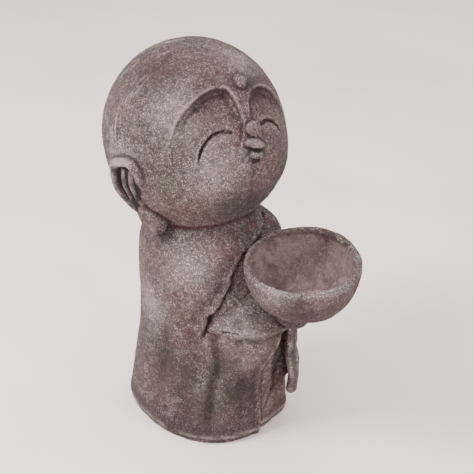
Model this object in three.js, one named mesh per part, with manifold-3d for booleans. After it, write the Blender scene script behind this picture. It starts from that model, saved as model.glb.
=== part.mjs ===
// A cast stone figure of a child monk who looks up and holds a bowl in front of the chest.
// Millimetres, +Z up, the figure faces -Y. The origin is the middle of the flat underside.
import * as THREE from "three";
import { mergeVertices } from "three/addons/utils/BufferGeometryUtils.js";
import Module from "manifold-3d";

const wasm = await Module();
wasm.setup();

// Overall sizes
const figureHeight = 400; // underside to the crown of the head
const faceting = 1; // 1 is the normal fineness of the facets, 2 is twice as fine

// Foot band that the hem stands on
const footBandHeight = 5;
const footHalfWidth = 77;
const footHalfDepth = 85;
const footCornering = 2.3; // exponent of the foot's outline: 2 is an ellipse, more is boxier

// Robe
const hemProud = 1.2; // the hem's lip stands this far past the foot band
const waistHalfWidth = 71;
const waistHalfDepth = 75;
const waistHeight = 110;
const shoulderHalfWidth = 71;
const shoulderHalfDepth = 71;
const shoulderDrop = 48; // collar to the shoulders
const collarHalfWidth = 42;
const neckSetBack = 13; // the neck stands behind the middle of the foot
const upperArmBulge = 4;
const leftShoulderProud = 10; // the cloth bunches up on the figure's left shoulder
const foldDepth = 2.6;

// Arms and sleeves
const armsUnderBowl = 21; // from the bowl's bottom to the edge between the forearms and the sleeves
const armTopRise = 1.15; // how steeply the forearms' tops rise towards the chest
const forearmReach = 33; // how far the forearms stand out of the robe
const sleeveReach = 27; // how far the hanging sleeves do
const sleeveDropHeight = 76; // below this the right sleeve lies on the robe
const leftSleeveBottom = 41;
const innerRobeBack = 4; // the inner robe lies this far behind the outer one
const openingFrom = 3; // degrees from the front, towards the figure's left
const openingTo = 20;
const openingLean = 7; // degrees that the right sleeve's edge leans over at the top
const openingTop = 130;
const hollowTo = 44; // the hollow behind the left sleeve ends at this many degrees
const leftSleeveThickness = 8;
const creaseWidth = 5;
const creaseDepth = 5;

// Hands under the bowl
const handsHalfWidth = 23;
const handsHalfDepth = 21;
const handsHalfHeight = 15;
const handsAside = 5; // from the bowl's middle towards the figure's left
const handsBack = 10; // from the bowl's middle towards the robe
const handsBelow = 10; // from the bowl's bottom to the hands' middle

// Bowl
const bowlRadius = 57.5;
const bowlWall = 8.5;
const bowlDepth = 60; // rim to the outside of the bottom
const bowlRimHeight = 217;
const bowlForward = 113;
const bowlAside = 19; // towards the figure's left
const bowlTilt = 8; // degrees, towards the figure's right
const bowlNod = 3; // degrees, forwards

// Head
const headHalfWidth = 92;
const headHalfDepth = 92;
const headHalfHeight = 95;
const headSink = 28; // how far the head comes down over the collar
const headSetBack = 38;
const headTilt = 24; // degrees, looking up
const faceRoll = 5; // degrees, the face leans towards the figure's left
const faceTurn = -1;
const cheekBulge = 8;
const socketDepth = 6;
const noseRadius = 7.8;
const noseProud = 4.5; // the nose's middle stands this far out of the face
const browDotRadius = 7;
const browDotProud = 4;
const eyeSlitWidth = 4;
const eyeSlitDepth = 4;
const mouthHalfWidth = 9;
const lipProud = 5.5;

// Ears
const earTubeRadius = 4.8;
const earBarRadius = 3.4;
const lobeRadius = 12.5;

const stone = new THREE.MeshStandardMaterial({ color: 0x8a7f7c, roughness: 0.93, metalness: 0 });

const rad = THREE.MathUtils.degToRad;
const deg = THREE.MathUtils.radToDeg;
const { lerp, smoothstep } = THREE.MathUtils;
const bell = (x, middle, spread) => Math.exp(-(((x - middle) / spread) ** 2));
const count = (n) => Math.max(3, Math.round(n * faceting));

// A closed geometry as a solid that can be joined and cut.
function solid(geometry) {
  const bare = geometry.clone();
  bare.deleteAttribute("normal");
  bare.deleteAttribute("uv");
  const merged = mergeVertices(bare, 1e-3);
  const made = new wasm.Manifold(
    new wasm.Mesh({
      numProp: 3,
      vertProperties: merged.attributes.position.array,
      triVerts: new Uint32Array(merged.index.array),
    }),
  );
  return made;
}

// Moves each vertex of a geometry to where place(vertex) puts it.
function reshape(geometry, place) {
  const at = geometry.attributes.position;
  const v = new THREE.Vector3();
  for (let i = 0; i < at.count; i++) {
    v.fromBufferAttribute(at, i);
    place(v);
    at.setXYZ(i, v.x, v.y, v.z);
  }
  return geometry;
}

// A smooth curve through pairs [position, value].
function profile(pairs) {
  return (x) => {
    let i = 0;
    while (i < pairs.length - 2 && x > pairs[i + 1][0]) i++;
    const [[x0, v0], [x1, v1]] = [pairs[i], pairs[i + 1]];
    const t = THREE.MathUtils.clamp((x - x0) / (x1 - x0), 0, 1);
    const slope = (j) =>
      j <= 0 || j >= pairs.length - 1
        ? (pairs[Math.min(j + 1, pairs.length - 1)][1] - pairs[Math.max(j - 1, 0)][1]) /
          (pairs[Math.min(j + 1, pairs.length - 1)][0] - pairs[Math.max(j - 1, 0)][0])
        : (pairs[j + 1][1] - pairs[j - 1][1]) / (pairs[j + 1][0] - pairs[j - 1][0]);
    const [m0, m1, h] = [slope(i), slope(i + 1), x1 - x0];
    const [t2, t3] = [t * t, t * t * t];
    return (
      (2 * t3 - 3 * t2 + 1) * v0 + (t3 - 2 * t2 + t) * h * m0 +
      (3 * t2 - 2 * t3) * v1 + (t3 - t2) * h * m1
    );
  };
}

const hemHeight = footBandHeight + 4;
const headHeight = figureHeight - headHalfHeight;
const collarHeight = figureHeight - 2 * headHalfHeight + headSink;
const shoulderHeight = collarHeight - shoulderDrop;
const throatHeight = lerp(shoulderHeight, collarHeight, 0.5);
const armRidgeHeight = bowlRimHeight - bowlDepth - armsUnderBowl;
const aboveRidge = (share) => lerp(armRidgeHeight, collarHeight, share);
const robeHalfWidth = profile([
  [hemHeight, footHalfWidth],
  [waistHeight, waistHalfWidth],
  [shoulderHeight, shoulderHalfWidth],
  [throatHeight, shoulderHalfWidth - 8],
  [collarHeight, collarHalfWidth],
]);
const robeHalfDepth = profile([
  [hemHeight, footHalfDepth],
  [waistHeight, waistHalfDepth],
  [shoulderHeight, shoulderHalfDepth],
  [throatHeight, shoulderHalfDepth - 6],
  [collarHeight, collarHalfWidth + 2],
]);
const robeSetBack = (z) => neckSetBack * smoothstep(z, 0.35 * collarHeight, collarHeight);

// The share of their reach that the arms have at an angle from the front, and that the sleeves have.
const armShare = profile([
  [-70, 0], [-58, 0.015], [-45, 0.09], [-30, 0.24], [-20, 0.39], [-10, 0.61], [0, 0.82],
  [10, 0.94], [24, 1], [36, 0.88], [50, 0.58], [64, 0.21], [80, 0],
]);
const sleeveShare = profile([
  [-70, 0], [-58, 0.02], [-45, 0.11], [-30, 0.3], [-20, 0.44], [-10, 0.7], [0, 0.93],
  [10, 1], [20, 1], [30, 0.85], [45, 0.63], [60, 0.3], [80, 0],
]);

// What the arms and the hanging sleeves add to the robe's half sizes.
function robeSwell(angle, z) {
  if (angle < -70 || angle > 80) return 0;
  const arm = forearmReach * Math.max(0, armShare(angle));
  const sleeve = sleeveReach * Math.max(0, sleeveShare(angle));
  const reach = lerp(sleeve, arm, smoothstep(z, armRidgeHeight - 10, armRidgeHeight));
  const climb = THREE.MathUtils.clamp((z - armRidgeHeight) / (5 + armTopRise * arm), 0, 1);
  const slope = lerp(climb, smoothstep(climb, 0, 1), 0.5);
  const left = smoothstep(angle, openingFrom + 6, openingTo - 4);
  const rightDrape = smoothstep(z, sleeveDropHeight - 16, armRidgeHeight);
  const leftDrape = smoothstep(z, leftSleeveBottom - 5, leftSleeveBottom + 6)
    * lerp(0.9, 1, smoothstep(z, leftSleeveBottom, armRidgeHeight));
  const beyond = smoothstep(angle, 50, 76);
  return reach * (1 - slope) * lerp(rightDrape, lerp(leftDrape, rightDrape, beyond), left);
}

// Soft vertical folds of the cloth below the arms, and the upper arms under the cloth above.
function robeFolds(angle, z) {
  const fade = 1 - smoothstep(z, armRidgeHeight - 30, armRidgeHeight + 6);
  const side = -bell(angle, -37, 5.5) * 1.3 + bell(angle, -47, 6) - bell(angle, -72, 7)
    + bell(angle, -84, 8) - bell(angle, -20, 6) * 0.5;
  const back = Math.cos(rad(angle * 9)) * smoothstep(Math.abs(angle), 95, 140) * 0.7;
  const upperArm = shoulderHeight - armRidgeHeight;
  const arm = upperArmBulge * bell(Math.abs(angle), 62, 26)
    * bell(z, armRidgeHeight + 0.78 * upperArm, 0.55 * upperArm);
  const leftShoulder = leftShoulderProud * bell(angle, 52, 34) * bell(z, throatHeight, 0.35 * shoulderDrop);
  return foldDepth * (side + back) * fade * smoothstep(z, hemHeight, hemHeight + 20) + arm + leftShoulder;
}

function robePoint(angle, z, extra = 0) {
  const a = rad(angle);
  const [s, c] = [Math.sin(a), Math.cos(a)];
  const corner = lerp(footCornering, 2, smoothstep(z, 0, shoulderHeight));
  const round = (Math.abs(s) ** corner + Math.abs(c) ** corner) ** (-1 / corner);
  const more = extra + robeSwell(angle, z) + robeFolds(angle, z);
  return new THREE.Vector3(
    (robeHalfWidth(z) * round + more) * s,
    robeSetBack(z) - (robeHalfDepth(z) * round + more) * c,
    z,
  );
}

// Angles around the robe stand closer together at the front.
function frontAngle(x, z) {
  const turn = Math.atan2(x, z);
  return deg(turn - 0.4 * Math.sin(turn));
}

// Robe, sleeves and hands as one skin around the vertical axis.
function makeRobe() {
  const belowRidge = (share) => lerp(leftSleeveBottom, armRidgeHeight, share);
  const levels = [
    ...[0, 0.5, 0.9].map((share) => lerp(hemHeight, leftSleeveBottom, share)),
    ...[0.06, 0.25, 0.42, 0.58, 0.74, 0.87, 0.95].map(belowRidge),
    ...[0.01, 0.08, 0.16, 0.25, 0.35, 0.46, 0.59, 0.71, 0.82, 0.91, 1].map(aboveRidge),
  ];
  const body = new THREE.CylinderGeometry(1, 1, 1, count(46), levels.length - 1);
  reshape(body, (v) => {
    const edge = Math.hypot(v.x, v.z);
    const z = levels[Math.round((v.y + 0.5) * (levels.length - 1))];
    const p = robePoint(frontAngle(v.x, v.z), z);
    const middle = robeSetBack(z);
    v.set(p.x * edge, middle + (p.y - middle) * edge, z);
  });
  return solid(body);
}

function makeFoot() {
  const hem = new THREE.CylinderGeometry(1, 1, 1, count(46), 3);
  const levels = [0, footBandHeight, hemHeight - 1, hemHeight + 6];
  const proud = [0, -1, hemProud, -0.5];
  reshape(hem, (v) => {
    const edge = Math.hypot(v.x, v.z);
    const i = Math.round((v.y + 0.5) * 3);
    const p = robePoint(frontAngle(v.x, v.z), hemHeight, proud[i]);
    v.set(p.x * edge, p.y * edge, levels[i]);
  });
  return solid(hem);
}

// A piece of the space around the robe's axis: its outline is in degrees and heights.
function wrapOnRobe(outline, low, high, curveSegments = 5) {
  const plate = new THREE.ExtrudeGeometry(outline, { depth: high - low, bevelEnabled: false, curveSegments });
  return solid(reshape(plate, (v) => {
    const size = Math.max(v.y, hemHeight);
    const a = rad(v.x);
    const more = v.z + low;
    v.set((robeHalfWidth(size) + more) * Math.sin(a), -(robeHalfDepth(size) + more) * Math.cos(a), v.y);
  }));
}

// The gap between the sleeves, and the hollow that it leaves behind the left sleeve.
function makeOpenings() {
  const gap = new THREE.Shape();
  gap.moveTo(openingFrom + 1.5, -footBandHeight);
  gap.lineTo(openingFrom, leftSleeveBottom);
  gap.lineTo(openingFrom, sleeveDropHeight);
  gap.quadraticCurveTo(openingFrom + 1, 0.74 * openingTop, openingFrom + openingLean, 0.97 * openingTop);
  gap.lineTo(openingTo - 4, openingTop);
  gap.quadraticCurveTo(openingTo + 1, 0.7 * openingTop, openingTo, 1.2 * leftSleeveBottom);
  gap.lineTo(openingTo + 6, 0.85 * leftSleeveBottom);
  gap.lineTo(openingTo + 30, 0.75 * leftSleeveBottom);
  gap.lineTo(openingTo + 34, -footBandHeight);
  const hollow = new THREE.Shape();
  hollow.moveTo(openingTo - 8, 0.5 * leftSleeveBottom);
  hollow.lineTo(openingTo - 6, 0.95 * openingTop);
  hollow.lineTo(hollowTo - 10, 0.88 * openingTop);
  hollow.lineTo(hollowTo, 0.5 * leftSleeveBottom);
  return [wrapOnRobe(gap, -14, 60), wrapOnRobe(hollow, -14, 23 - leftSleeveThickness)];
}

// The inner robe that shows between the sleeves, with slanting pleats.
function makeInnerRobe() {
  const inner = new THREE.CylinderGeometry(1, 1, 1, count(34), count(5));
  return solid(reshape(inner, (v) => {
    const edge = Math.hypot(v.x, v.z);
    const turn = Math.atan2(v.x, v.z);
    const angle = deg(turn - 0.7 * Math.sin(turn));
    const z = lerp(0.5, openingTop + 10, v.y + 0.5);
    const pleat = 1.5 * Math.cos(rad((angle - 0.24 * z) * 20)) * bell(angle, 22, 30);
    const more = -innerRobeBack + pleat * smoothstep(z, 8, 24);
    const size = Math.max(z, hemHeight);
    v.set(
      (robeHalfWidth(size) + more) * Math.sin(rad(angle)) * edge,
      -(robeHalfDepth(size) + more) * Math.cos(rad(angle)) * edge,
      z,
    );
  }));
}

// A three-cornered groove along points on the robe.
function makeCrease() {
  const path = [
    [36, 0.98], [26, 0.87], [10, 0.73], [-7, 0.59], [-21, 0.41], [-31, 0.25], [-42, 0.07], [-46, -0.1],
  ].map(([angle, share]) => robePoint(angle, aboveRidge(share), 1));
  const section = new THREE.Shape([
    new THREE.Vector2(-creaseWidth / 2, 4),
    new THREE.Vector2(creaseWidth / 2, 4),
    new THREE.Vector2(0, -creaseDepth),
  ]);
  const curve = new THREE.CatmullRomCurve3(path);
  const steps = count(18);
  return solid(new THREE.ExtrudeGeometry(section, { steps, extrudePath: curve, bevelEnabled: false }));
}

function makeBowl() {
  const lip = bowlWall / 2;
  const points = [];
  const turns = count(6);
  for (let i = 0; i <= turns; i++) {
    const a = (Math.PI / 2) * (i / turns);
    points.push(new THREE.Vector2(bowlRadius * Math.sin(a), -bowlDepth * Math.cos(a)));
  }
  points.push(new THREE.Vector2(bowlRadius - 0.8, lip * 0.7));
  points.push(new THREE.Vector2(bowlRadius - lip, lip));
  points.push(new THREE.Vector2(bowlRadius - bowlWall + 0.8, lip * 0.6));
  for (let i = turns; i >= 0; i--) {
    const a = (Math.PI / 2) * (i / turns);
    points.push(new THREE.Vector2(
      (bowlRadius - bowlWall) * Math.sin(a),
      -(bowlDepth - bowlWall) * Math.cos(a),
    ));
  }
  const bowl = new THREE.LatheGeometry(points, count(30));
  bowl.rotateX(Math.PI / 2);
  bowl.rotateX(rad(bowlNod));
  bowl.rotateY(rad(-bowlTilt));
  bowl.translate(bowlAside, -bowlForward, bowlRimHeight);
  return solid(bowl);
}

// The two hands, one upon the other under the bowl.
function makeHands() {
  const hands = new THREE.SphereGeometry(1, count(14), count(9));
  hands.rotateX(Math.PI / 2);
  hands.scale(handsHalfWidth, handsHalfDepth, handsHalfHeight);
  hands.translate(bowlAside + handsAside, -bowlForward + handsBack, bowlRimHeight - bowlDepth - handsBelow);
  return solid(hands);
}

// The head's own frame: azimuth and elevation in degrees from the middle of the face.
function headRadius(azimuth, elevation) {
  const [a, e] = [rad(azimuth), rad(elevation)];
  const [x, y, z] = [Math.cos(e) * Math.sin(a), Math.cos(e) * Math.cos(a), Math.sin(e)];
  const ball = 1 / Math.hypot(x / headHalfWidth, y / headHalfDepth, z / headHalfHeight);
  const cheek = cheekBulge * Math.cos(e) * bell(Math.abs(azimuth), 40, 55) * bell(elevation, -42, 26);
  const chin = -1.5 * Math.cos(e) * bell(azimuth, 0, 20) * bell(elevation, -34, 12);
  return ball + cheek + chin;
}

function toWorld(p) {
  p.applyAxisAngle(new THREE.Vector3(1, 0, 0), -rad(headTilt));
  p.y += headSetBack;
  p.z += headHeight;
  return p;
}

function headPoint(azimuth, elevation, proud = 0) {
  const [a, e] = [rad(azimuth), rad(elevation)];
  const r = headRadius(azimuth, elevation) + proud;
  return toWorld(new THREE.Vector3(
    r * Math.cos(e) * Math.sin(a), -r * Math.cos(e) * Math.cos(a), r * Math.sin(e),
  ));
}

// The face's features lean and turn a little on the head.
function facePoint(azimuth, elevation, proud = 0) {
  const [c, n] = [Math.cos(rad(faceRoll)), Math.sin(rad(faceRoll))];
  return headPoint(azimuth * c + elevation * n + faceTurn, elevation * c - azimuth * n, proud);
}

// A flat outline in degrees, given thickness and wrapped around the face.
function wrapOnFace(outline, low, high, curveSegments = 8) {
  const plate = new THREE.ExtrudeGeometry(outline, { depth: high - low, bevelEnabled: false, curveSegments });
  return solid(reshape(plate, (v) => v.copy(facePoint(v.x, v.y, v.z + low))));
}

function makeSkull() {
  const ball = new THREE.SphereGeometry(1, count(36), count(24));
  return solid(reshape(ball, (v) => {
    const turn = Math.atan2(v.x, v.z);
    const azimuth = deg(turn - 0.4 * Math.sin(turn));
    const elevation = deg(Math.asin(THREE.MathUtils.clamp(v.y, -1, 1)));
    v.copy(headPoint(azimuth, elevation));
  }));
}

// Brow lines and upper lids in face degrees: [azimuth, elevation], the right side's azimuth mirrored.
const browLines = {
  right: [[2.8, 2.9], [3.5, 8.5], [4.6, 14.9], [7, 21.1], [12.9, 24.4], [22.1, 23.6], [33.5, 17.9],
    [44.1, 7], [50.3, -5]],
  left: [[1.7, 3.3], [3, 10.5], [6, 16.5], [10.5, 20.2], [18, 22.5], [28, 21.3], [38, 15.5],
    [46, 6], [51, -5]],
};
const lidLines = {
  right: [[11.5, -3.8], [16.3, -0.9], [22.8, -2.2], [27.5, -5.5], [31.5, -10.6], [34.2, -17.9]],
  left: [[10.4, -2.6], [15.4, 0.2], [20.9, 0.6], [26.4, -2.2], [31.2, -7], [34, -14]],
};

// The hollow under a brow: the brow's outline cut back to a lower ball that meets the cheek.
function makeSocket(side, line) {
  const brow = new THREE.Shape();
  brow.moveTo(4 * side, -4);
  brow.lineTo(line[0][0] * side, line[0][1]);
  brow.splineThru(line.slice(1).map(([x, y]) => new THREE.Vector2(x * side, y)));
  brow.lineTo(50 * side, -22);
  brow.lineTo(12 * side, -24);
  const cut = wrapOnFace(brow, -20, 25, count(6));
  const ball = new THREE.SphereGeometry(1, count(30), count(22));
  const inner = solid(reshape(ball, (v) => {
    const azimuth = deg(Math.atan2(v.x, v.z));
    const elevation = deg(Math.asin(THREE.MathUtils.clamp(v.y, -1, 1)));
    const fade = smoothstep(elevation, -22, 22) * (1 - smoothstep(elevation, 50, 80))
      * (1 - smoothstep(Math.abs(azimuth), 32, 62));
    v.copy(headPoint(azimuth, elevation, 0.5 - (socketDepth + 0.5) * fade));
  }));
  return cut.subtract(inner);
}

// A crescent that opens downwards, from the points of its upper line.
function crescent(points, width) {
  const line = new THREE.SplineCurve(points.map(([x, y]) => new THREE.Vector2(x, y)));
  const n = count(8);
  const upper = line.getPoints(n);
  const lower = upper.map((p, i) => {
    const tangent = line.getTangent(i / n);
    const w = width * Math.sin((Math.PI * i) / n) ** 0.6;
    return new THREE.Vector2(p.x + tangent.y * w, p.y - tangent.x * w);
  });
  return new THREE.Shape([...upper, ...lower.reverse().slice(1, -1)]);
}

function makeEyeSlit(side, line) {
  const arc = line.map(([x, y]) => [x * side, y]);
  if (side < 0) arc.reverse();
  return wrapOnFace(crescent(arc, deg(eyeSlitWidth / headHalfDepth)), -socketDepth - eyeSlitDepth, 8);
}

function bead(azimuth, elevation, proud, radii, segments = 9) {
  const ball = new THREE.SphereGeometry(1, count(segments), count(segments * 0.7));
  ball.scale(radii[0], radii[1], radii[2]);
  ball.rotateX(-rad(elevation + headTilt));
  ball.rotateY(-rad(faceRoll));
  const at = facePoint(azimuth, elevation, proud);
  ball.translate(at.x, at.y, at.z);
  return solid(ball);
}

function makeMouthLine() {
  const w = deg(mouthHalfWidth / headHalfDepth);
  const smile = [[-w, -12.4], [-w * 0.5, -14], [0, -14.4], [w * 0.5, -14], [w, -12.4]];
  return wrapOnFace(crescent(smile, 1.3), -2, 12);
}

// A place on an ear in shares of the head's half sizes, given for the figure's right ear.
function onHead(side, [x, y, z]) {
  return toWorld(new THREE.Vector3(side * -x * headHalfWidth, y * headHalfDepth, z * headHalfHeight));
}

function earTube(side, points, radius, steps) {
  const path = new THREE.CatmullRomCurve3(points.map((p) => onHead(side, p)));
  const ring = new THREE.Shape();
  ring.absarc(0, 0, radius, 0, 2 * Math.PI);
  return solid(new THREE.ExtrudeGeometry(ring, {
    steps: count(steps), extrudePath: path, bevelEnabled: false, curveSegments: count(3),
  }));
}

function earBall(side, middle, radii, segments = 9) {
  const ball = new THREE.SphereGeometry(1, count(segments), count(segments * 0.7));
  const at = onHead(side, middle);
  return solid(reshape(ball, (v) => {
    const tilted = new THREE.Vector3(v.x * radii[0], v.y * radii[1], v.z * radii[2]);
    v.copy(tilted.applyAxisAngle(new THREE.Vector3(1, 0, 0), -rad(headTilt)).add(at));
  }));
}

// The ear: a curled rim, a hollow with two bars, and a long heavy lobe.
function addEar(head, side) {
  const rim = [
    [-0.946, -0.2, -0.368], [-0.978, -0.228, -0.221], [-1.011, -0.174, -0.116], [-1.022, -0.054, -0.095],
    [-1.016, 0.087, -0.105], [-0.989, 0.185, -0.211], [-0.935, 0.261, -0.368], [-0.859, 0.261, -0.505],
    [-0.783, 0.217, -0.632], [-0.728, 0.13, -0.716],
  ];
  const backBar = [
    [-0.967, 0.011, -0.179], [-0.962, 0.065, -0.337], [-0.902, 0.098, -0.474], [-0.815, 0.13, -0.6],
  ];
  const frontBar = [
    [-0.957, -0.109, -0.211], [-0.957, -0.054, -0.347], [-0.902, -0.022, -0.474], [-0.826, 0.011, -0.611],
  ];
  const hollow = [lobeRadius * 0.4, lobeRadius * 0.72, lobeRadius * 0.96];
  return head
    .subtract(earBall(side, [-1.011, -0.098, -0.253], hollow))
    .add(earTube(side, rim, earTubeRadius, 13))
    .add(earTube(side, backBar, earBarRadius * 0.9, 4))
    .add(earTube(side, frontBar, earBarRadius, 4))
    .add(earBall(side, [-0.804, 0.033, -0.632], [lobeRadius * 0.64, lobeRadius * 0.84, lobeRadius * 1.12]))
    .add(earBall(side, [-0.717, 0.043, -0.8], [lobeRadius * 0.92, lobeRadius, lobeRadius], 10));
}

function makeStatue() {
  let body = makeRobe().add(makeFoot());
  for (const opening of makeOpenings()) body = body.subtract(opening);
  body = body.add(makeInnerRobe()).subtract(makeCrease()).add(makeHands()).add(makeBowl());
  let head = makeSkull();
  head = head.subtract(makeSocket(-1, browLines.right)).subtract(makeSocket(1, browLines.left));
  head = head.subtract(makeEyeSlit(-1, lidLines.right)).subtract(makeEyeSlit(1, lidLines.left));
  head = head.add(bead(0, -2, noseProud, [noseRadius, noseRadius, noseRadius]));
  head = head.add(bead(1, 27, 0, [browDotRadius, browDotProud, browDotRadius]));
  head = head.add(bead(0, -10.5, 0, [mouthHalfWidth, lipProud, lipProud * 1.1]));
  head = head.add(bead(0.5, -17, 0, [mouthHalfWidth * 0.7, lipProud * 0.85, lipProud * 0.7]));
  head = head.subtract(makeMouthLine());
  head = addEar(addEar(head, -1), 1);
  return body.add(head);
}

function toMesh(shape, name) {
  const { vertProperties, triVerts } = shape.getMesh();
  const geometry = new THREE.BufferGeometry();
  geometry.setAttribute("position", new THREE.BufferAttribute(vertProperties, 3));
  geometry.setIndex(new THREE.BufferAttribute(triVerts, 1));
  geometry.computeVertexNormals();
  const mesh = new THREE.Mesh(geometry, stone);
  mesh.name = name;
  return mesh;
}

const group = new THREE.Group();
group.add(toMesh(makeStatue(), "jizo_statue"));
export default group;
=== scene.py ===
import math
import bpy
import numpy as np
from mathutils import Matrix, Vector


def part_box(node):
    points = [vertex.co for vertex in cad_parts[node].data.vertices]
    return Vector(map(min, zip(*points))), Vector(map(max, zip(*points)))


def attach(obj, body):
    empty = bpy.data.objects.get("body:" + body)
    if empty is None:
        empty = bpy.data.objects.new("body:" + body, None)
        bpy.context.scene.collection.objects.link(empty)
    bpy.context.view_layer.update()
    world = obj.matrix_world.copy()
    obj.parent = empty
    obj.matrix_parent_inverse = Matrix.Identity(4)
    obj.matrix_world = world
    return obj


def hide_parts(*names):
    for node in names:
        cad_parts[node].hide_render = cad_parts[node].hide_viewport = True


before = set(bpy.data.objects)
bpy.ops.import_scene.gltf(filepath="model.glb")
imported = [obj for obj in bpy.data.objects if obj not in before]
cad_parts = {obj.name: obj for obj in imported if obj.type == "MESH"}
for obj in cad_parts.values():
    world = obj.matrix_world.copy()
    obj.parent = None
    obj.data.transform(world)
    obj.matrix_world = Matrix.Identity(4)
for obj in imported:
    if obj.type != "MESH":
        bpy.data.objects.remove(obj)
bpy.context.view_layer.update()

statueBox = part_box("jizo_statue")
figureHeight = 400  # the sizes below are for a figure of this height
mm = (statueBox[1][2] - statueBox[0][2]) / figureHeight


def deselectAll():
    if bpy.context.object and bpy.context.object.mode != "OBJECT":
        bpy.ops.object.mode_set(mode="OBJECT")
    bpy.ops.object.select_all(action="DESELECT")


def makeActive(obj):
    deselectAll()
    obj.select_set(True)
    bpy.context.view_layer.objects.active = obj


def addSphere(name, segments, rings):
    deselectAll()
    bpy.ops.mesh.primitive_uv_sphere_add(segments=segments, ring_count=rings, radius=1)
    obj = bpy.context.object
    obj.name = name
    return obj


def addCutCube(name, *cuts):
    deselectAll()
    bpy.ops.mesh.primitive_cube_add(size=2)
    obj = bpy.context.object
    obj.name = name
    bpy.ops.object.mode_set(mode="EDIT")
    for count in cuts:
        bpy.ops.mesh.select_all(action="SELECT")
        bpy.ops.mesh.subdivide(number_cuts=count)
    bpy.ops.object.mode_set(mode="OBJECT")
    return obj


def addRoundBall(name):  # a ball of evenly spread squares, from a cube cut up twice and rounded
    obj = addCutCube(name, 12, 12)
    p = np.tan(readPoints(obj) * math.pi / 4)
    writePoints(obj, p / np.linalg.norm(p, axis=1)[:, None])
    return obj


def readPoints(obj):
    points = np.empty(len(obj.data.vertices) * 3)
    obj.data.vertices.foreach_get("co", points)
    return points.reshape(-1, 3)


def writePoints(obj, points):
    obj.data.vertices.foreach_set("co", np.ascontiguousarray(points).ravel())
    obj.data.update()


def readNormals(obj):
    normals = np.empty(len(obj.data.vertices) * 3)
    obj.data.vertex_normals.foreach_get("vector", normals)
    return normals.reshape(-1, 3)


def applyModifier(obj, kind, **settings):
    makeActive(obj)
    modifier = obj.modifiers.new(kind.title(), kind)
    for name, value in settings.items():
        setattr(modifier, name, value)
    bpy.ops.object.modifier_apply(modifier=modifier.name)


def rise(x, low, high):
    t = np.clip((x - low) / (high - low), 0, 1)
    return t * t * (3 - 2 * t)


def bell(x, middle, spread):
    return np.exp(-(((x - middle) / spread) ** 2))


def blend(a, b, t):
    return a + (b - a) * t


def curveThrough(pairs):  # a smooth curve through pairs of place and value
    places = np.array([p[0] for p in pairs], float)
    values = np.array([p[1] for p in pairs], float)
    slopes = np.gradient(values, places)
    slopes[1:-1] = (values[2:] - values[:-2]) / (places[2:] - places[:-2])

    def value(x):
        i = np.clip(np.searchsorted(places, x, side="left") - 1, 0, len(places) - 2)
        h = places[i + 1] - places[i]
        t = np.clip((x - places[i]) / h, 0, 1)
        return ((2 * t ** 3 - 3 * t ** 2 + 1) * values[i] + (t ** 3 - 2 * t ** 2 + t) * h * slopes[i]
                + (3 * t ** 2 - 2 * t ** 3) * values[i + 1] + (t ** 3 - t ** 2) * h * slopes[i + 1])

    return value


def finePath(points, count):  # more points along a path through the given ones
    points = np.array(points, float)
    steps = np.concatenate([[0], np.cumsum(np.linalg.norm(np.diff(points, axis=0), axis=1))])
    at = np.linspace(0, steps[-1], count)
    return np.stack([curveThrough(list(zip(steps, points[:, k])))(at) for k in range(points.shape[1])], 1)


def nearPath(points, path):  # distance to a path, share of the way along it, nearest point
    best = np.full(len(points), 1e9)
    along = np.zeros(len(points))
    near = np.zeros_like(points)
    for i in range(len(path) - 1):
        step = path[i + 1] - path[i]
        t = np.clip((points - path[i]) @ step / (step @ step), 0, 1)
        foot = path[i] + t[:, None] * step
        d = np.linalg.norm(points - foot, axis=1)
        closer = d < best
        best[closer] = d[closer]
        along[closer] = (i + t[closer]) / (len(path) - 1)
        near[closer] = foot[closer]
    return best, along, near


def insideOutline(points, outline):
    inside = np.zeros(len(points), bool)
    x, y = points[:, 0], points[:, 1]
    for (x0, y0), (x1, y1) in zip(outline, np.roll(outline, -1, axis=0)):
        crosses = (y0 > y) != (y1 > y)
        at = x0 + (y - y0) / (y1 - y0 if y1 != y0 else 1e-9) * (x1 - x0)
        inside ^= crosses & (x < at)
    return inside


view = {
    "turn": -40, "away": 1030, "height": 765, "aimAside": 24, "aimHeight": 202, "roll": 3.1,
    "focalPixels": 1140, "imagePixels": 474, "sensor": 36,
}


def addCamera():
    turn = math.radians(view["turn"])
    place = Vector((math.sin(turn) * view["away"], -math.cos(turn) * view["away"], view["height"])) * mm
    aside = Vector((math.cos(turn), math.sin(turn), 0))
    aim = (aside * view["aimAside"] + Vector((0, 0, view["aimHeight"]))) * mm
    forward = (aim - place).normalized()
    right = forward.cross(Vector((0, 0, 1))).normalized()
    up = right.cross(forward)
    roll = math.radians(view["roll"])
    rolledRight = right * math.cos(roll) + up * math.sin(roll)
    rolledUp = up * math.cos(roll) - right * math.sin(roll)
    data = bpy.data.cameras.new("camera")
    data.sensor_width = view["sensor"]
    data.lens = view["focalPixels"] * view["sensor"] / view["imagePixels"]
    data.clip_end = 50
    camera = bpy.data.objects.new("camera", data)
    bpy.context.scene.collection.objects.link(camera)
    camera.matrix_world = Matrix.Translation(place) @ Matrix(
        (rolledRight, rolledUp, -forward)).transposed().to_4x4()
    bpy.context.scene.camera = camera
    return place, right


cameraPlace, cameraRight = addCamera()
print("camera placed")

lights = {
    "key": {"aside": -0.9, "toCamera": 0.35, "height": 1.15, "size": 0.5, "power": 29, "warmth": (1, 0.98, 0.96)},
    "fill": {"aside": 1.2, "toCamera": 0.9, "height": 0.7, "size": 0.3, "power": 12, "warmth": (1, 0.97, 0.96)},
    "top": {"aside": 0.1, "toCamera": -0.3, "height": 1.9, "size": 1.2, "power": 9, "warmth": (1, 0.99, 0.98)},
}


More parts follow.
